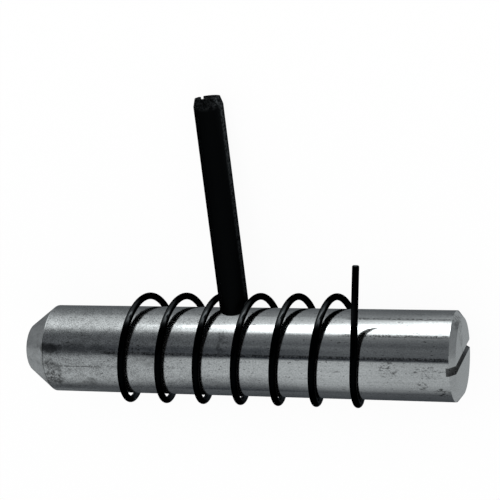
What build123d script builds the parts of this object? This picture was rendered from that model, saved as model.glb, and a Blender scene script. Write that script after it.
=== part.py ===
from build123d import *
import math
import os

os.makedirs("parts", exist_ok=True)

# Locking pin: a turned steel shaft, a slotted spring pin driven through it as a handle,
# and a loose wire spring round the shaft. Sizes are in millimetres and angles in degrees.
# The shaft's axis is X, with the middle of the nose's flat end at the origin and the tail
# at +X. +Z is up. The pin lies on its side, on the coils of the spring and the handle's tip.

# Shaft
shaft_diameter = 16.0
shaft_length = 81.2
nose_length = 4.9
nose_face_diameter = 8.7
nose_edge_round = 0.4
tail_chamfer_length = 1.0
tail_face_diameter = 13.5
slot_width = 1.5
slot_depth = 1.5
slot_turn = 92.0

# Handle
handle_diameter = 5.3
handle_wall = 1.0
handle_length = 54.5
handle_slit = 0.8
handle_slit_turn = 137.0
handle_end_cone_length = 1.4
handle_end_cone_depth = 0.4
handle_place = 40.5
handle_lean = 2.65
handle_end_recess = 0.2

# Spring: lengths, then places counted in coils from the handle
wire_diameter = 1.25
spring_play = 1.83
coil_pitch = 7.13
last_coil_bow = 0.55
leg_length = 15.55
leg_slope = 1.8
leg_end_round = 0.3
coils_before_handle = 2.7
coils_after_handle = 3.787

# Clearances, and how far the spring leans towards the handle on its way to the tail
handle_to_coil = 0.1
shaft_to_coil = 0.15
spring_lean = 0.36

# How the spring lies: it hangs on the shaft, with its coils on the floor
spring_radius = (shaft_diameter + spring_play + wire_diameter) / 2
spring_drop = spring_play / 2 - shaft_to_coil
axis_height = spring_radius + wire_diameter / 2 + spring_drop

# How the handle lies: its tip, where the end cone starts, is on the same floor
handle_radius = handle_diameter / 2
handle_inset = shaft_diameter / 2 - handle_end_recess
tip_reach = handle_length - handle_inset - handle_end_cone_length
tip_drop = math.asin(axis_height / math.hypot(tip_reach, handle_radius))
tip_drop -= math.atan2(handle_radius, tip_reach)
lean = math.radians(handle_lean)
handle_dip = math.asin(math.sin(tip_drop) / math.cos(lean))
handle_direction = Vector(
    -math.sin(lean),
    math.cos(lean) * math.cos(handle_dip),
    -math.cos(lean) * math.sin(handle_dip),
)
handle_foot = Vector(handle_place, 0, 0) - handle_direction * handle_inset
handle_plane = Plane(origin=handle_foot, x_dir=(1, 0, 0), z_dir=handle_direction)


def make_shaft():
    """A turned bar, drilled across for the handle and slotted across the tail."""
    radius = shaft_diameter / 2
    outline = Polyline(
        (0, 0),
        (0, nose_face_diameter / 2),
        (nose_length, radius),
        (shaft_length - tail_chamfer_length, radius),
        (shaft_length, tail_face_diameter / 2),
        (shaft_length, 0),
        close=True,
    )
    bar = revolve(make_face(outline), axis=Axis.X)
    bar = fillet(bar.edges().group_by(Axis.X)[0], nose_edge_round)
    cross_hole = handle_plane * Cylinder(handle_radius, 2 * handle_length)
    slot = Box(2 * slot_depth, shaft_diameter, slot_width)
    slot = Rot(X=slot_turn - math.degrees(handle_dip)) * slot
    return bar - cross_hole - Pos(X=shaft_length) * slot


def make_handle():
    """A tube rolled from spring steel, with a slit along it and a cone round each end."""
    bore = handle_radius - handle_wall
    cone_end = handle_radius - handle_end_cone_depth
    wall = Polyline(
        (bore, 0),
        (cone_end, 0),
        (handle_radius, handle_end_cone_length),
        (handle_radius, handle_length - handle_end_cone_length),
        (cone_end, handle_length),
        (bore, handle_length),
        close=True,
    )
    tube = revolve(make_face(Plane.XZ * wall), axis=Axis.Z)
    slit = Box(
        handle_diameter,
        handle_slit,
        handle_length,
        align=(Align.MIN, Align.CENTER, Align.MIN),
    )
    tube -= Rot(Z=handle_slit_turn) * slit
    return handle_plane * tube


def coil_angle(coil):
    """How far round the shaft the wire is, in radians; coil 0 is where it is beside the handle."""
    return -handle_dip - 2 * math.pi * coil


def coil_point(coil):
    """The middle of the wire. Coil 0 passes the handle, and the last coil bows towards the tail."""
    handle_reach = spring_radius + spring_drop * math.sin(handle_dip)
    handle_side = handle_place - handle_reach * math.tan(lean) - handle_radius / math.cos(lean)
    x = handle_side - handle_to_coil - wire_diameter / 2 + coil_pitch * coil
    last_turn = max(0, coil - int(coils_after_handle))
    x += last_coil_bow * math.sin(math.pi * last_turn) ** 2
    swing = (coil + coils_before_handle) * coil_pitch * math.tan(math.radians(spring_lean))
    y = swing + spring_radius * math.cos(coil_angle(coil))
    z = -spring_drop + spring_radius * math.sin(coil_angle(coil))
    return Vector(x, y, z)


def wire_direction(coil, slope):
    """Along the wire towards the tail, at a slope in radians from square to the shaft."""
    return Vector(
        math.sin(slope),
        math.cos(slope) * math.sin(coil_angle(coil)),
        -math.cos(slope) * math.cos(coil_angle(coil)),
    )


def make_spring():
    """Left-handed coils that end in a straight leg along their last tangent."""
    points_per_coil = 12
    coils = coils_before_handle + coils_after_handle
    count = round(coils * points_per_coil)
    places = [coils * i / count - coils_before_handle for i in range(count + 1)]
    first_slope = math.atan2(coil_pitch, 2 * math.pi * spring_radius)
    first_direction = wire_direction(-coils_before_handle, first_slope)
    leg_direction = wire_direction(coils_after_handle, math.radians(leg_slope))
    winding = Spline(
        *[coil_point(place) for place in places],
        tangents=(first_direction, leg_direction),
        tangent_scalars=(1, 1),
    )
    leg = Line(winding @ 1, winding @ 1 + leg_direction * leg_length)
    section = Plane(origin=winding @ 0, z_dir=winding % 0) * Circle(wire_diameter / 2)
    wire = sweep(section, path=Wire([winding, leg]))
    leg_end = wire.faces().filter_by(GeomType.PLANE).sort_by(Axis.X)[-1]
    return fillet(leg_end.edges(), leg_end_round)


export_step(make_shaft(), "parts/shaft.step")
export_step(make_handle(), "parts/pin_handle.step")
export_step(make_spring(), "parts/spring.step")
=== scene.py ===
import math

import bpy
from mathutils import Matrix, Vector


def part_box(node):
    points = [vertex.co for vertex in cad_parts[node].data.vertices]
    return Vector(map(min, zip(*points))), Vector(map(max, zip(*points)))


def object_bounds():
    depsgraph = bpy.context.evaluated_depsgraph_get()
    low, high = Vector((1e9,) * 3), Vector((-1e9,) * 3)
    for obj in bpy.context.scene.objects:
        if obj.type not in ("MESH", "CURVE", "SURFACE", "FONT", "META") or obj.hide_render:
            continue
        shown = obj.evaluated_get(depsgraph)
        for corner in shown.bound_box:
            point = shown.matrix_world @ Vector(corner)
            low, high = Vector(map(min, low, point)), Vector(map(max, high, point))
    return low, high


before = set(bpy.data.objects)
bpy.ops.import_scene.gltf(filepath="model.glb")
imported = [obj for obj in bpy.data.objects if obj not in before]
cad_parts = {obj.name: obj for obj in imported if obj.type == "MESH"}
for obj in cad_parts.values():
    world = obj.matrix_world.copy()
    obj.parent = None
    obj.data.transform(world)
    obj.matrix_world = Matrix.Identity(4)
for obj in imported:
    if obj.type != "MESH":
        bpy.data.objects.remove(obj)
cad_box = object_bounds()

# The locking pin's looks: worn drawn steel, satin black handle and gloss black wire, on a
# white sweep. Lengths are in metres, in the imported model's frame: the shaft's axis is X, with
# the nose's flat end at the origin. Inside the materials lengths are in millimetres.
MM = 0.001

# Camera, as fitted to the photograph's outlines, and the floor
CAMERA_AT = (0.13417, 0.14036, 0.24959)
CAMERA_TURN = (-26.757, 16.059, -7.824)
CAMERA_LENS = 119.57
CAMERA_CLIP = 0.01
FLOOR_MIDDLE = (0.04, 0.0)
FLOOR_Z = cad_box[0].z
FLOOR_SIZE = 3.0

# Light. The camera sees FLOOR_GLOW of plain white in the floor, and the rest keeps the shadow.
PLAIN_LEVEL = 0.75
FLOOR_WHITE = 0.9
FLOOR_GLOW = 0.94
KEY_AT = (0.05, 0.45, 0.55)
KEY_SIZE = 0.45
KEY_WATTS = 2.2

# What the metal mirrors: (degrees round the shaft's axis from +Y towards +Z, brightness).
# A white sweep lies towards +Y, with a dark room over it, and from overhead down towards -Y
# the room is grey. LIT is the studio towards the tail, and FADED is the studio towards the nose.
LIT = (
    (-180.0, 0.06),
    (-150.0, 0.045),
    (-60.0, 0.15),
    (-44.0, 0.185),
    (-36.0, 0.265),
    (-31.0, 0.42),
    (-24.5, 0.48),
    (-19.5, 1.60),
    (-13.0, 1.60),
    (-10.0, 3.00),
    (-3.0, 3.00),
    (0.0, 1.60),
    (8.0, 1.60),
    (13.0, 0.27),
    (17.0, 0.20),
    (22.0, 0.165),
    (32.0, 0.110),
    (40.0, 0.080),
    (48.0, 0.120),
    (66.0, 0.100),
    (71.0, 0.090),
    (74.0, 0.018),
    (77.5, 0.015),
    (80.8, 0.34),
    (84.5, 0.40),
    (115.0, 0.41),
    (132.0, 0.405),
    (143.0, 0.375),
    (150.0, 0.335),
    (160.0, 0.250),
    (170.0, 0.150),
    (180.0, 0.06),
)
FADED = (
    (-180.0, 0.09),
    (-150.0, 0.045),
    (-120.0, 0.050),
    (-90.0, 0.12),
    (-50.0, 0.12),
    (-36.0, 0.19),
    (-30.0, 0.23),
    (-26.0, 0.31),
    (-20.0, 0.47),
    (-14.0, 0.57),
    (-8.0, 0.64),
    (-2.0, 0.64),
    (3.0, 0.54),
    (7.0, 0.42),
    (12.0, 0.24),
    (16.0, 0.17),
    (22.0, 0.105),
    (30.0, 0.072),
    (44.0, 0.084),
    (50.0, 0.084),
    (55.0, 0.045),
    (61.0, 0.035),
    (67.0, 0.060),
    (74.0, 0.12),
    (82.0, 0.20),
    (92.0, 0.26),
    (110.0, 0.27),
    (125.0, 0.32),
    (140.0, 0.385),
    (150.0, 0.37),
    (165.0, 0.25),
    (180.0, 0.09),
)
PEAK = 3.00

# The edge of the lit part. On the floor it is the x at y = 0 and how x changes with y, near the
# shaft and far from it, and its width grows with y. In the room it is the direction's x, and high
# up it lies further towards the nose. By LIT_POWER a half-lit place shows less of LIT.
LIT_EDGE_NEAR = (0.084, -0.85)
LIT_EDGE_FAR = (0.025, -0.36)
LIT_EDGE_WIDTH = (0.020, 0.05)
LIT_IN_ROOM = (-0.40, -0.27)
LIT_POWER = 1.6
LIT_HIGH_DEGREES = (62.0, 80.0)
LIT_HIGH_SHIFT = 0.05

# A slight blue in all that the metal mirrors: times this, plus this
STUDIO_TINT = (0.945, 1.0, 1.005)
STUDIO_LIFT = (-0.003, 0.0, 0.006)

# Past the ends of the shaft the studio is plain: one grey on each side of the shaft's axis. The
# pairs say where that starts and where it is full, as x on the floor and as the direction's x in
# the room. Close past the tail's face the floor has the far side's grey everywhere.
END_GREY_HANDLE_SIDE = 0.20
END_GREY_FAR_SIDE = 0.345
END_GREY_SOFT = 0.02
FLOOR_TAIL_END = (0.087, 0.092)
ROOM_NOSE_END = (-0.50, -0.75)
ROOM_TAIL_END = (0.60, 0.90)
TAIL_FACE_SOFT = 0.0005

# Past the nose the floor is plain too: where x, plus NOSE_SLANT times y on the handle's side, is
# low enough, and y isn't far below 0. A darker line lies there along the shaft's axis, with its
# place in y and in x, and its shade.
NOSE_SLANT = 0.62
PAST_NOSE_X = (0.010, -0.040)
PAST_NOSE_Y = (-0.060, -0.040)
DARK_LINE_Y = (-0.007, 0.005)
DARK_LINE_SOFT = 0.004
DARK_LINE_X = (-0.030, -0.060)
DARK_LINE_SHADE = 0.45

# Something darker stands low in the grey, as a hump: the degrees at its foot, how high it is,
# its middle and width as the direction's x, how soft its top edge and its sides are, and how
# dark it is
HUMP_FOOT = 161.5
HUMP_DEGREES = 37.0
HUMP_MIDDLE = -0.317
HUMP_WIDTH = 0.030
HUMP_EDGE = (-1.0, 2.0)
HUMP_SIDES = (0.03, 0.20)
HUMP_SHADE = 0.62

# In the dark room hangs a darker beam: its degrees, its place as the direction's x, and how dark
# it is
BEAM_DEGREES = (53.0, 75.0)
BEAM_DEGREES_SOFT = 5.0
BEAM_X = (-0.345, -0.290)
BEAM_X_SOFT = 0.035
BEAM_SHADE = 0.55

# The shaft's length and radius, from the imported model. SIDE_SKIN is how far inside the radius its
# side starts to count, and where it counts in full. Then come the edge of the nose's cone, and the
# tail's slot: an x just under its floor, the direction across it and half its width.
shaft_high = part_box("shaft")[1]
SHAFT_LENGTH = shaft_high.x / MM
SHAFT_RADIUS = shaft_high.y / MM
SIDE_SKIN = (0.12, 0.04)
NOSE_EDGE_X = 4.90
NOSE_EDGE_WIDTH = 0.12
NOSE_EDGE_SOFT = 0.05
SLOT_X = 79.66
SLOT_ACROSS = (0.0, -0.9888, 0.1495)
SLOT_HALF_WIDTH = 0.75
SLOT_EDGE = (0.02, -0.01)
SLOT_END_GAP = 0.08
SLOT_X_SOFT = 0.04

# Patterns: the factors on x, y and z, where one below 1 stretches the pattern along that axis,
# then its scale, detail and roughness
EVEN = (1.0, 1.0, 1.0)
PEPPER = (EVEN, 4.6, 2.0, 0.6)
CLOUD = ((0.6, 1.0, 1.0), 0.9, 4.0, 0.6)
LINES = ((0.03, 1.0, 1.0), 2.4, 5.0, 0.6)
DASHES = ((0.45, 1.0, 1.0), 3.2, 3.0, 0.6)
BLOTCH = (EVEN, 1.7, 3.0, 0.6)
TURNED_RINGS = (EVEN, 5.0, 3.0, 0.6)
RING_SPREAD = 1.7
WANDER_SCALE = 0.8
WANDER_DETAIL = 4.0
WANDER_REACH = (5.0, 2.2, 0.0)

# How light the steel is, and how strong each pattern is in it: its strength at the tail and how
# much more it has at the nose, which is full up to the first x of NOSE_TO_TAIL and gone past the
# second. The grain is also weaker off the side, on the ends and the cone.
STEEL_LEVEL = 0.75
NOSE_TO_TAIL = (12.0, 58.0)
GRAIN = (0.9, 1.3)
GRAIN_ON_SIDE = (0.35, 0.65)
SMEAR = (0.15, 0.75)
STREAK = (0.40, -0.25)

# The steel's roughness at the tail and how much more at the nose, how much clouds change it, and
# how much more it has off the side
STEEL_ROUGH = (0.12, 0.05)
STEEL_ROUGH_CLOUD = 0.12
STEEL_ROUGH_OFF_SIDE = 0.16

# The heights of the steel's dashes and lines, tail and more at the nose, and how much the turned
# rings lose behind the nose's flat end
DASH_HEIGHT = (0.4, 1.0)
LINE_HEIGHT = (0.6, -0.5)
RING_HEIGHT = (1.0, -0.75)
FLAT_END_X = (0.05, 0.2)
STEEL_BUMP = 0.004 * MM

# Marks on the shaft's side. Places are (x, distance round from +Y), in millimetres, and a mark
# is its middle, its half length and half width, and how dark it is. It is full up to MARK_FADE
# of its half size. A middle stretch is painted a little lighter, as a painted reflection of a
# brighter studio there. The pairs that end in _AT say where in a pattern a mark breaks up.
PAINTED_LIGHT_FROM_TO = (34.0, 62.0)
PAINTED_LIGHT_SOFT = 10.0
PAINTED_LIGHTER = 0.12
SPECKS_AT = (0.62, 0.68)
SPECK_SHADE = 0.60
MARK_FADE = 0.45
# Darker streaks near the nose
DARK_STREAKS = (
    ((6.6, 8.5), (3.4, 1.1), 0.55),
    ((11.5, 8.6), (9.5, 1.3), 0.30),
)
RAGGED_BY_PEPPER = 0.9
RAGGED_AT = (0.34, 0.60)
SMUDGES_AND_PAINTED_SHADE = (
    ((6.3, 11.8), (2.0, 1.9), 0.75),
    ((6.4, 14.6), (2.6, 2.3), 0.85),
    # Painted shade: this smudge, by the handle's foot, stands in for the handle's shade on the
    # shaft.
    ((39.3, 7.2), (0.9, 3.6), 0.50),
    ((13.6, 15.5), (2.2, 1.3), 0.50),
    ((9.5, 16.6), (5.0, 1.2), 0.30),
    ((26.0, 10.2), (3.4, 1.6), 0.40),
    ((19.5, 9.6), (2.6, 0.9), 0.40),
    ((80.9, 0.6), (0.9, 3.8), 0.50),
)
STROKES_AT = (0.50, 0.58)
SCUFFS = (
    ((22.6, 8.3), (2.6, 1.2), 0.70),
    ((69.6, 11.2), (2.2, 2.0), 0.60),
    ((76.4, 11.4), (3.0, 1.5), 0.50),
    ((75.3, 14.2), (1.2, 1.3), 0.60),
    ((78.7, 15.7), (1.6, 1.3), 0.95),
)

# Rows of specks along the shaft: (from x, to x, distance round from +Y)
SPECK_ROWS = (
    (62.0, 79.5, 1.45),
    (62.0, 79.5, 5.20),
    (17.0, 79.5, 9.20),
)
ROW_HALF_WIDTH = 0.15
ROW_SOFT = 0.2
ROW_X_SOFT = 1.0
ROW_SPECKS_AT = (0.46, 0.52)
ROW_SHADE = 0.80

# A fine scratch along the shaft, near the nose
SCRATCH_X = (8.6, 16.0)
SCRATCH_X_SOFT = 1.5
SCRATCH_ARC = 11.9
SCRATCH_HALF_WIDTH = 0.06
SCRATCH_SOFT = 0.10
SCRATCH_SWAY = 0.5
SCRATCH_AT = (0.40, 0.56)
SCRATCH_SHADE = 0.65

# Painted light: the cone's edge has painted shade high on the side and a painted highlight below,
# and the slot has painted shade
EDGE_SHADE_ARC = (6.0, 7.5)
EDGE_PAINTED_SHADE = 0.55
EDGE_HIGHLIGHT_ARC = (-1.0, 5.5)
EDGE_HIGHLIGHT_SOFT = 0.8
EDGE_HIGHLIGHT = 0.40
SLOT_BLOTCH = (0.2, 1.2)
SLOT_PAINTED_SHADE = 0.60

# The handle: its patterns, its black, and the grey where it is rubbed, which is along its edges
# and round its tip, and a painted highlight, a lighter grey on the side that faces the tail. A grey
# is its level and how much bluer it is, and TIP_RUB_BACK is how far back from the tip its rubbing
# starts, and where it is full.
HANDLE_TIP_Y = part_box("pin_handle")[1].y / MM
HANDLE_GRAIN = (EVEN, 2.6, 5.0, 0.65)
HANDLE_LINES = ((1.0, 0.06, 1.0), 4.0, 5.0, 0.6)
HANDLE_BLACK = (0.006, 0.10)
HANDLE_RUBBED = (0.045, 0.05)
HANDLE_HIGHLIGHT_GREY = (0.08, 0.05)
EDGE_POINTINESS = (0.53, 0.62)
TIP_RUB_BACK = (2.2, 1.2)
HANDLE_RUB_AT = (0.40, 0.60)
HIGHLIGHT_FACING = (0.88, 0.99)
HANDLE_HIGHLIGHT_AT = (0.35, 0.60)
HANDLE_ROUGH = 0.42
HANDLE_ROUGH_GRAIN = 0.2
HANDLE_LINE_HEIGHT = 0.8
HANDLE_BUMP = 0.012 * MM
HANDLE_EDGE_TINT = 0.20

# The spring's wire, in degrees round the shaft from +Y: where each coil's crown carries a painted
# highlight, greyer so that it mirrors the sweep, and how far round, either way, the side away from
# the handle begins, which is painted lighter all over as a highlight. Greys are as the handle's:
# the wire's black, dark to light, and the two painted highlight greys.
WIRE_GRAIN = (EVEN, 1.6, 4.0, 0.6)
WIRE_SPECK = (EVEN, 9.0, 2.0, 0.5)
WIRE_BLACK_DARK = (0.0012, 0.3)
WIRE_BLACK_LIGHT = (0.0030, 0.3)
WIRE_CROWN = (0.55, 0.92)
HIGHLIGHT_FROM_TO = (5.0, 26.0)
WIRE_HIGHLIGHT_GREY = (0.055, 0.05)
FAR_SIDE_PAST = 160.0
FAR_SIDE_HIGHLIGHT_GREY = (0.35, 0.05)
WIRE_SOFT = 12.0
WIRE_UNEVEN = (0.3, 1.2)
WIRE_ROUGH = 0.06
WIRE_ROUGH_GRAIN = 0.08
WIRE_SPECK_HEIGHT = 0.25
WIRE_BUMP = 0.006 * MM
WIRE_EDGE_TINT = 0.30


class Tree:
    """A node tree, with a short way to make each kind of node."""

    def __init__(self, tree):
        self.tree = tree
        tree.nodes.clear()

    def put(self, value, socket):
        if isinstance(value, bpy.types.NodeSocket):
            self.tree.links.new(value, socket)
        else:
            socket.default_value = value

    def node(self, kind, inputs, **settings):
        made = self.tree.nodes.new("ShaderNode" + kind)
        for name, value in settings.items():
            setattr(made, name, value)
        for name, value in inputs.items():
            self.put(value, made.inputs[name])
        return made

    def math(self, operation, a, b=0.0, c=0.0, clamp=False):
        made = self.node("Math", {0: a, 1: b, 2: c}, operation=operation, use_clamp=clamp)
        return made.outputs[0]

    def times(self, a, b, clamp=False):
        return self.math("MULTIPLY", a, b, clamp=clamp)

    def plus(self, a, b, clamp=False):
        return self.math("ADD", a, b, clamp=clamp)

    def rising(self, share, start, more):
        """From start where share is 0 to start plus more where it is 1."""
        return self.math("MULTIPLY_ADD", share, more, start)

    def centred(self, pattern):
        """A pattern of 0 to 1, moved to lie round 0."""
        return self.math("SUBTRACT", pattern, 0.5)

    def degrees_round(self, y, z):
        """Degrees round the shaft's axis, from +Y towards +Z."""
        return self.times(self.math("ARCTAN2", z, y), math.degrees(1))

    def vector(self, operation, a, b=(0.0, 0.0, 0.0)):
        made = self.node("VectorMath", {0: a, 1: b}, operation=operation)
        return made.outputs[1] if operation == "LENGTH" else made.outputs[0]

    def vector_dot(self, a, b):
        return self.node("VectorMath", {0: a, 1: b}, operation="DOT_PRODUCT").outputs["Value"]

    def split(self, vector):
        return self.node("SeparateXYZ", {0: vector}).outputs

    def ramp(self, factor, stops):
        made = self.node("ValToRGB", {"Fac": factor})
        elements = made.color_ramp.elements
        while len(elements) < len(stops):
            elements.new(1.0)
        for element, (place, value) in zip(elements, stops):
            element.position = place
            element.color = (value, value, value, 1.0)
        return made.outputs["Color"]

    def step(self, value, low, high):
        """0 below low, 1 above high, and smooth between. It falls instead if low is over high."""
        made = self.node(
            "MapRange",
            {"Value": value, "From Min": low, "From Max": high},
            interpolation_type="SMOOTHSTEP",
        )
        return made.outputs["Result"]

    def pattern(self, place, stretch, scale, detail, roughness):
        at = self.vector("MULTIPLY", place, stretch)
        made = self.node(
            "TexNoise",
            {"Vector": at, "Scale": scale, "Detail": detail, "Roughness": roughness},
        )
        return made.outputs["Fac"]

    def tint(self, factor, a, b):
        made = self.node("Mix", {}, data_type="RGBA")
        self.put(factor, made.inputs["Factor"])
        self.put(a, made.inputs[6])
        self.put(b, made.inputs[7])
        return made.outputs[2]

    def bump(self, height, distance):
        inputs = {"Height": height, "Distance": distance, "Strength": 1.0}
        return self.node("Bump", inputs).outputs["Normal"]


def blend(t, share, a, b):
    return t.node("Mix", {"Factor": share, 2: a, 3: b}, data_type="FLOAT").outputs[0]


def grey(level, cool=0.0):
    """A colour of that linear level, a little bluer by cool."""
    return (level * (1 - cool), level, level * (1 + 0.7 * cool), 1.0)


def new_material(name):
    material = bpy.data.materials.new(name)
    material.use_nodes = True
    return material, Tree(material.node_tree)


def finish_material(t, **inputs):
    """Links one Principled shader, with these inputs, to the material's output."""
    named = {name.replace("_", " "): value for name, value in inputs.items()}
    shader = t.node("BsdfPrincipled", named)
    t.node("OutputMaterial", {"Surface": shader.outputs["BSDF"]})


def dress(node_name, material):
    for part_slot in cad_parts[node_name].material_slots:
        part_slot.material = material


def place_mm(t):
    """Places on the part in millimetres, as a vector and as x, y and z."""
    place = t.node("TexCoord", {}).outputs["Object"]
    place = t.vector("MULTIPLY", place, (1 / MM, 1 / MM, 1 / MM))
    return place, t.split(place)


def facing(t):
    """The surface's direction on the part."""
    return t.node("TexCoord", {}).outputs["Normal"]


def shape_mask(t, spread, at, half):
    """1 inside an oval of the shaft's side, falling to 0 at its edge."""
    from_middle = t.vector("SUBTRACT", spread, (*at, 0.0))
    from_middle = t.vector("MULTIPLY", from_middle, (1 / half[0], 1 / half[1], 0.0))
    return t.step(t.vector("LENGTH", from_middle), 1.0, MARK_FADE)


def between(t, value, low, high, soft):
    """1 from low to high, falling to 0 within soft outside them."""
    return t.times(t.step(value, low - soft, low), t.step(value, high + soft, high))


def darken(t, level, mask, share):
    """That level, less that share of it where the mask is 1. A share below 0 makes it lighter."""
    return t.times(level, t.rising(mask, 1.0, -share))


def patterned_steel(t, on_side, to_nose, pepper, cloud, lines):
    """How light the steel is before its marks: grain, smears and drawn streaks."""
    grain = t.times(t.centred(pepper), t.rising(to_nose, *GRAIN))
    grain = t.times(grain, t.rising(on_side, *GRAIN_ON_SIDE))
    smear = t.times(t.centred(cloud), t.rising(to_nose, *SMEAR))
    streak = t.times(t.centred(lines), t.rising(to_nose, *STREAK))
    shade = t.plus(t.plus(grain, smear), streak)
    return t.times(t.plus(shade, 1.0), STEEL_LEVEL)


def worn_marks_and_painted_shade(t, level, place, spread, pepper, dashes, blotch):
    """Smudges, scuffs, darker streaks near the nose, and painted shade by the handle's foot. Some
    wander a little, for uneven outlines.
    """
    inputs = {"Vector": place, "Scale": WANDER_SCALE, "Detail": WANDER_DETAIL}
    wander = t.node("TexNoise", inputs).outputs["Color"]
    wander = t.vector("MULTIPLY", t.vector("SUBTRACT", wander, (0.5, 0.5, 0.5)), WANDER_REACH)
    marked = t.vector("ADD", spread, wander)
    ragged = t.plus(blotch, t.times(t.centred(pepper), RAGGED_BY_PEPPER))
    ragged = t.step(ragged, *RAGGED_AT)
    for at, half, share in SMUDGES_AND_PAINTED_SHADE:
        level = darken(t, level, t.times(shape_mask(t, marked, at, half), ragged), share)
    for at, half, share in SCUFFS:
        strokes = t.times(shape_mask(t, spread, at, half), t.step(dashes, *STROKES_AT))
        level = darken(t, level, strokes, share)
    for at, half, share in DARK_STREAKS:
        level = darken(t, level, shape_mask(t, marked, at, half), share)
    return level


def lined_marks(t, level, x, arc, pepper, lines, dashes):
    """Rows of specks and a fine scratch, all along the shaft."""
    for x_from, x_to, at_arc in SPECK_ROWS:
        across = between(t, arc, at_arc - ROW_HALF_WIDTH, at_arc + ROW_HALF_WIDTH, ROW_SOFT)
        row = t.times(across, between(t, x, x_from, x_to, ROW_X_SOFT))
        level = darken(t, level, t.times(row, t.step(pepper, *ROW_SPECKS_AT)), ROW_SHADE)

    sway = t.rising(lines, -SCRATCH_SWAY / 2, SCRATCH_SWAY)
    low = SCRATCH_ARC - SCRATCH_HALF_WIDTH
    high = SCRATCH_ARC + SCRATCH_HALF_WIDTH
    scratch = between(t, t.plus(arc, sway), low, high, SCRATCH_SOFT)
    scratch = t.times(scratch, between(t, x, *SCRATCH_X, SCRATCH_X_SOFT))
    return darken(t, level, t.times(scratch, t.step(dashes, *SCRATCH_AT)), SCRATCH_SHADE)


def painted_edge_light_and_shade(t, level, place, x, arc, blotch):
    """Painted highlight and shade on the edge of the nose's cone, and painted shade in the tail's
    slot.
    """
    # Painted shade high on the cone's edge, and a painted highlight below it.
    at_edge = between(t, x, NOSE_EDGE_X, NOSE_EDGE_X + NOSE_EDGE_WIDTH, NOSE_EDGE_SOFT)
    level = darken(t, level, t.times(at_edge, t.step(arc, *EDGE_SHADE_ARC)), EDGE_PAINTED_SHADE)
    light = t.times(at_edge, between(t, arc, *EDGE_HIGHLIGHT_ARC, EDGE_HIGHLIGHT_SOFT))
    level = darken(t, level, light, -EDGE_HIGHLIGHT)

    # Painted shade in the tail's slot, blotchy.
    from_middle = t.math("ABSOLUTE", t.vector_dot(place, SLOT_ACROSS))
    low = SLOT_HALF_WIDTH + SLOT_EDGE[0]
    high = SLOT_HALF_WIDTH + SLOT_EDGE[1]
    along = between(t, x, SLOT_X, SHAFT_LENGTH - SLOT_END_GAP, SLOT_X_SOFT)
    in_slot = t.times(t.step(from_middle, low, high), along)
    return darken(t, level, t.times(in_slot, t.rising(blotch, *SLOT_BLOTCH)), SLOT_PAINTED_SHADE)


def drawn_steel():
    """Bright drawn bar: smooth towards the tail and matt, peppered and smeared towards the nose."""
    material, t = new_material("drawn_steel")
    place, (x, y, z) = place_mm(t)
    radius = t.math("SQRT", t.plus(t.times(y, y), t.times(z, z)))
    on_side = t.step(radius, SHAFT_RADIUS - SIDE_SKIN[0], SHAFT_RADIUS - SIDE_SKIN[1])
    to_nose = t.step(x, NOSE_TO_TAIL[1], NOSE_TO_TAIL[0])
    arc = t.times(t.math("ARCTAN2", z, y), SHAFT_RADIUS)
    spread = t.node("CombineXYZ", {0: x, 1: arc}).outputs[0]

    pepper = t.pattern(place, *PEPPER)
    cloud = t.pattern(place, *CLOUD)
    lines = t.pattern(place, *LINES)
    dashes = t.pattern(place, *DASHES)
    blotch = t.pattern(place, *BLOTCH)
    rings_at = t.node("CombineXYZ", {0: t.plus(x, t.times(radius, RING_SPREAD))}).outputs[0]
    rings = t.pattern(rings_at, *TURNED_RINGS)

    level = patterned_steel(t, on_side, to_nose, pepper, cloud, lines)
    # Painted reflection: the middle stretch of the shaft is made a little lighter.
    level = darken(t, level, between(t, x, *PAINTED_LIGHT_FROM_TO, PAINTED_LIGHT_SOFT), -PAINTED_LIGHTER)
    level = darken(t, level, t.times(t.step(dashes, *SPECKS_AT), on_side), SPECK_SHADE)
    level = worn_marks_and_painted_shade(t, level, place, spread, pepper, dashes, blotch)
    level = lined_marks(t, level, x, arc, pepper, lines, dashes)
    level = painted_edge_light_and_shade(t, level, place, x, arc, blotch)
    level = t.math("MINIMUM", level, 1.0)
    colour = t.node("CombineColor", {0: level, 1: level, 2: level}).outputs[0]

    rough = t.rising(to_nose, *STEEL_ROUGH)
    rough = t.plus(rough, t.times(t.centred(cloud), STEEL_ROUGH_CLOUD))
    off_side = t.math("SUBTRACT", 1.0, on_side)
    rough = t.plus(rough, t.times(off_side, STEEL_ROUGH_OFF_SIDE), clamp=True)

    fine = t.times(dashes, t.rising(to_nose, *DASH_HEIGHT))
    side_height = t.math("MULTIPLY_ADD", lines, t.rising(to_nose, *LINE_HEIGHT), fine)
    ring_height = t.times(rings, t.rising(t.step(x, *FLAT_END_X), *RING_HEIGHT))
    normal = t.bump(blend(t, on_side, ring_height, side_height), STEEL_BUMP)

    finish_material(t, Base_Color=colour, Metallic=1.0, Roughness=rough, Normal=normal)
    return material


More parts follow.
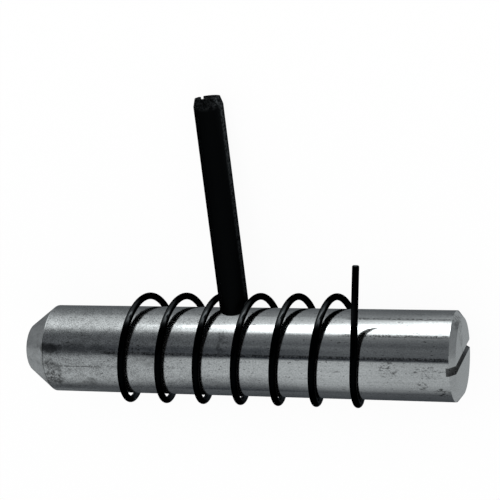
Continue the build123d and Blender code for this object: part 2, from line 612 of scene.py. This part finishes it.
def black_oxide():
    """The handle: satin black spring steel, rubbed grey on edges and tip, painted highlight on its
    tail side.
    """
    material, t = new_material("black_oxide")
    place, place_xyz = place_mm(t)
    grain = t.pattern(place, *HANDLE_GRAIN)
    lines = t.pattern(place, *HANDLE_LINES)
    worn = t.node("NewGeometry", {}).outputs["Pointiness"]
    at_tip = t.step(place_xyz[1], HANDLE_TIP_Y - TIP_RUB_BACK[0], HANDLE_TIP_Y - TIP_RUB_BACK[1])
    rub_and_highlight = t.math("MAXIMUM", t.step(worn, *EDGE_POINTINESS), at_tip)
    rub_and_highlight = t.times(rub_and_highlight, t.step(grain, *HANDLE_RUB_AT))
    # Painted highlight: the side facing the tail is made a lighter grey.
    facing_tail = t.split(facing(t))[0]
    side = t.times(t.step(facing_tail, *HIGHLIGHT_FACING), t.step(grain, *HANDLE_HIGHLIGHT_AT))
    colour = t.tint(rub_and_highlight, grey(*HANDLE_BLACK), grey(*HANDLE_RUBBED))
    colour = t.tint(side, colour, grey(*HANDLE_HIGHLIGHT_GREY))
    rough = t.times(t.centred(grain), HANDLE_ROUGH_GRAIN)
    rough = t.plus(HANDLE_ROUGH, rough, clamp=True)
    height = t.plus(grain, t.times(lines, HANDLE_LINE_HEIGHT))
    normal = t.bump(height, HANDLE_BUMP)
    finish_material(
        t,
        Base_Color=colour,
        Metallic=1.0,
        Roughness=rough,
        Specular_Tint=grey(HANDLE_EDGE_TINT),
        Normal=normal,
    )
    return material


def black_wire():
    """The spring: gloss black wire, a little uneven, with painted highlights on crowns and far
    side.
    """
    material, t = new_material("black_wire")
    place, place_xyz = place_mm(t)
    grain = t.pattern(place, *WIRE_GRAIN)
    speck = t.pattern(place, *WIRE_SPECK)
    angle = t.degrees_round(place_xyz[1], place_xyz[2])
    outward = t.vector("NORMALIZE", t.vector("MULTIPLY", place, (0.0, 1.0, 1.0)))
    crown = t.step(t.vector_dot(facing(t), outward), *WIRE_CROWN)
    # Painted highlight: the crowns on the sweep's side are made greyer, so they mirror the sweep
    # brightly.
    rub_and_highlight = t.times(crown, between(t, angle, *HIGHLIGHT_FROM_TO, WIRE_SOFT))
    # Painted highlight: the wire's side away from the handle is made a lighter grey.
    far_side = t.step(t.math("ABSOLUTE", angle), FAR_SIDE_PAST - WIRE_SOFT, FAR_SIDE_PAST)
    uneven = t.rising(speck, *WIRE_UNEVEN)
    colour = t.tint(grain, grey(*WIRE_BLACK_DARK), grey(*WIRE_BLACK_LIGHT))
    colour = t.tint(t.times(rub_and_highlight, uneven, clamp=True), colour, grey(*WIRE_HIGHLIGHT_GREY))
    colour = t.tint(t.times(far_side, uneven, clamp=True), colour, grey(*FAR_SIDE_HIGHLIGHT_GREY))
    rough = t.times(t.centred(grain), WIRE_ROUGH_GRAIN)
    rough = t.plus(WIRE_ROUGH, rough, clamp=True)
    height = t.plus(grain, t.times(speck, WIRE_SPECK_HEIGHT))
    normal = t.bump(height, WIRE_BUMP)
    finish_material(
        t,
        Base_Color=colour,
        Metallic=1.0,
        Roughness=rough,
        Specular_Tint=grey(WIRE_EDGE_TINT),
        Normal=normal,
    )
    return material


def end_grey(t, y):
    """The plain grey of the studio past the ends of the shaft."""
    far = t.step(y, 0.0, -END_GREY_SOFT)
    return t.rising(far, END_GREY_HANDLE_SIDE, END_GREY_FAR_SIDE - END_GREY_HANDLE_SIDE)


def mirrored(t, angle, lit):
    """How bright the studio is at that angle round the shaft's axis, where that share is lit."""
    share = t.math("MULTIPLY_ADD", angle, 1 / 360, 0.5)
    lit_level, faded_level = [
        t.ramp(share, [((degrees + 180) / 360, level / PEAK) for degrees, level in stops])
        for stops in (LIT, FADED)
    ]
    return t.times(blend(t, t.math("POWER", lit, LIT_POWER), faded_level, lit_level), PEAK)


def cool(t, level):
    """That level of grey as a slightly blue light."""
    light = t.node("CombineXYZ", {0: level, 1: level, 2: level}).outputs[0]
    return t.vector("ADD", t.vector("MULTIPLY", light, STUDIO_TINT), STUDIO_LIFT)


def room_light(t):
    """What the metal mirrors of the room over the floor."""
    x, y, z = t.split(t.node("TexCoord", {}).outputs["Generated"])
    angle = t.degrees_round(y, z)
    from_hump = t.times(t.math("SUBTRACT", x, HUMP_MIDDLE), 1 / HUMP_WIDTH)
    fall = t.math("EXPONENT", t.times(t.times(from_hump, from_hump), -1.0))
    over_edge = t.plus(angle, t.rising(fall, -HUMP_FOOT, HUMP_DEGREES))
    in_hump = t.times(t.step(over_edge, *HUMP_EDGE), t.step(fall, *HUMP_SIDES))
    beam = between(t, angle, *BEAM_DEGREES, BEAM_DEGREES_SOFT)
    beam = t.times(beam, between(t, x, *BEAM_X, BEAM_X_SOFT))
    lit_at = t.math("MULTIPLY_ADD", t.step(angle, *LIT_HIGH_DEGREES), LIT_HIGH_SHIFT, x)
    level = mirrored(t, angle, t.step(lit_at, *LIT_IN_ROOM))
    level = darken(t, darken(t, level, in_hump, HUMP_SHADE), beam, BEAM_SHADE)
    level = blend(t, t.step(x, *ROOM_NOSE_END), level, end_grey(t, y))
    return cool(t, blend(t, t.step(x, *ROOM_TAIL_END), level, end_grey(t, y)))


def floor_light(t):
    """What the metal mirrors of the floor: white beside the shaft towards +Y, shaded under it."""
    x, y, z = t.split(t.node("NewGeometry", {}).outputs["Position"])
    angle = t.degrees_round(y, z)
    out = t.math("MAXIMUM", y, 0.0)
    edge = t.math("MAXIMUM", t.rising(y, *LIT_EDGE_NEAR), t.rising(y, *LIT_EDGE_FAR))
    inside = t.math("SUBTRACT", x, edge)
    width = t.rising(out, *LIT_EDGE_WIDTH)
    lit = t.math("POWER", t.step(t.math("DIVIDE", inside, width), -1.0, 1.0), LIT_POWER)
    beyond = t.math("MULTIPLY_ADD", out, NOSE_SLANT, x)
    past_nose = t.times(t.step(beyond, *PAST_NOSE_X), t.step(y, *PAST_NOSE_Y))
    dark_line = between(t, y, *DARK_LINE_Y, DARK_LINE_SOFT)
    dark_line = t.times(dark_line, t.step(x, *DARK_LINE_X))
    plain = darken(t, end_grey(t, y), dark_line, DARK_LINE_SHADE)
    level = blend(t, past_nose, mirrored(t, angle, lit), plain)
    past_tail = t.step(x, shaft_high.x, shaft_high.x + TAIL_FACE_SOFT)
    level = blend(t, past_tail, level, END_GREY_FAR_SIDE)
    return cool(t, blend(t, t.step(x, *FLOOR_TAIL_END), level, end_grey(t, y)))


def white_floor():
    """A white floor that keeps a soft shadow, and that the metal mirrors as the studio's sweep."""
    bpy.ops.mesh.primitive_plane_add(size=FLOOR_SIZE, location=(*FLOOR_MIDDLE, FLOOR_Z))
    floor = bpy.context.object
    floor.name = "floor"
    material, t = new_material("white_floor")
    rays = t.node("LightPath", {}).outputs
    cloth = t.node("BsdfDiffuse", {"Color": grey(FLOOR_WHITE)}).outputs[0]
    white = t.node("Emission", {"Color": grey(1.0), "Strength": 1.0}).outputs[0]
    sweep = t.node("Emission", {"Color": floor_light(t), "Strength": 1.0}).outputs[0]
    glow = t.times(rays["Is Camera Ray"], FLOOR_GLOW)
    seen = t.node("MixShader", {0: glow, 1: cloth, 2: white}).outputs[0]
    shader = t.node("MixShader", {0: rays["Is Glossy Ray"], 1: seen, 2: sweep}).outputs[0]
    t.node("OutputMaterial", {"Surface": shader})
    floor.data.materials.append(material)


def studio():
    """Plain white all round for the camera, plain soft light, and the surround for the metal."""
    world = bpy.data.worlds.new("studio")
    bpy.context.scene.world = world
    world.use_nodes = True
    t = Tree(world.node_tree)
    rays = t.node("LightPath", {}).outputs
    plain = t.node("Background", {"Color": grey(1.0), "Strength": PLAIN_LEVEL}).outputs[0]
    white = t.node("Background", {"Color": grey(1.0), "Strength": 1.0}).outputs[0]
    room = t.node("Background", {"Color": room_light(t), "Strength": 1.0}).outputs[0]
    seen = t.node("MixShader", {0: rays["Is Camera Ray"], 1: plain, 2: white}).outputs[0]
    shader = t.node("MixShader", {0: rays["Is Glossy Ray"], 1: seen, 2: room}).outputs[0]
    t.node("OutputWorld", {"Surface": shader})

    key = bpy.data.lights.new("soft_key", "AREA")
    key.size = KEY_SIZE
    key.energy = KEY_WATTS
    lamp = bpy.data.objects.new("soft_key", key)
    lamp.location = KEY_AT
    middle = (cad_box[0] + cad_box[1]) / 2
    lamp.rotation_euler = (middle - lamp.location).to_track_quat("-Z", "Y").to_euler()
    lamp.visible_glossy = False
    bpy.context.collection.objects.link(lamp)


def camera():
    data = bpy.data.cameras.new("camera")
    data.lens = CAMERA_LENS
    data.clip_start = CAMERA_CLIP
    seen_from = bpy.data.objects.new("camera", data)
    seen_from.location = CAMERA_AT
    seen_from.rotation_euler = [math.radians(turn) for turn in CAMERA_TURN]
    bpy.context.collection.objects.link(seen_from)
    bpy.context.scene.camera = seen_from


camera()
studio()
white_floor()
dress("shaft", drawn_steel())
dress("pin_handle", black_oxide())
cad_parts["pin_handle"].visible_glossy = False
dress("spring", black_wire())
bpy.context.scene.view_settings.view_transform = "Standard"
